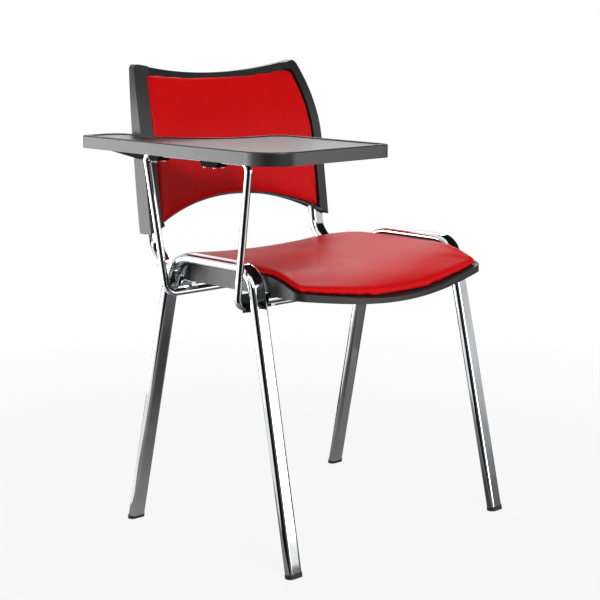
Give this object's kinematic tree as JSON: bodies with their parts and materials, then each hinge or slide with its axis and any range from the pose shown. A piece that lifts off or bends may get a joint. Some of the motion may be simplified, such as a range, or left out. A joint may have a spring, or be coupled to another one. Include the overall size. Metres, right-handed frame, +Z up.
{
  "type": "student chair with writing tablet",
  "caption": "Stacking student chair with a chromed tube frame, red padded seat and back in black shells, and a black writing tablet that flips up on a bent rod at the sitter's right.",
  "frame": {"origin": "on the floor, in the chair's left-right symmetry plane, midway between the front and rear feet", "axes": "+Z up; the front of the seat faces -Y; the sitter's right hand, where the tablet is, lies towards -X"},
  "size_m": [0.5595, 0.4972, 0.788],
  "materials": {
    "chromed_tube": "bright polished chrome plate",
    "foot_plastic": "matt moulded plastic",
    "black_plastic": "satin, finely grained moulding",
    "red_leatherette": "smooth satin leatherette over foam",
    "plywood": "bare plywood, hidden",
    "zinc_steel": "bright zinc plate"
  },
  "bodies": {
    "chair": {"side_frame_right": "chromed_tube", "side_frame_left": "chromed_tube", "back_upright_right": "chromed_tube", "back_upright_left": "chromed_tube", "front_cross_tube": "chromed_tube", "rear_cross_tube": "chromed_tube", "tablet_arm_rod": "chromed_tube", "arm_lug_front_outer": "chromed_tube", "arm_lug_front_inner": "chromed_tube", "arm_lug_rear_outer": "chromed_tube", "arm_lug_rear_inner": "chromed_tube", "foot_plug_front_right": "foot_plastic", "foot_plug_rear_right": "foot_plastic", "foot_plug_front_left": "foot_plastic", "foot_plug_rear_left": "foot_plastic", "seat_shell": "black_plastic", "back_shell": "black_plastic", "arm_spacer": "black_plastic", "seat_pad": "red_leatherette", "back_pad": "red_leatherette", "seat_board": "plywood", "back_board": "plywood", "seat_tee_nuts": "zinc_steel", "seat_screws": "zinc_steel", "back_board_screws": "zinc_steel", "back_sleeve_screws": "zinc_steel"},
    "tablet": {"tablet_top": "black_plastic", "hinge_clip_front": "black_plastic", "hinge_clip_rear": "black_plastic", "hinge_cap_front": "black_plastic", "hinge_cap_rear": "black_plastic", "hinge_clip_screws": "zinc_steel", "hinge_cap_screws": "zinc_steel"}
  },
  "joints": [
    {"name": "tablet_flip", "type": "hinge", "parent": "chair", "child": "tablet", "pos_m": [-0.266, 0, 0.65], "axis": [0, -1, 0], "range_deg": [0, 70]}
  ]
}
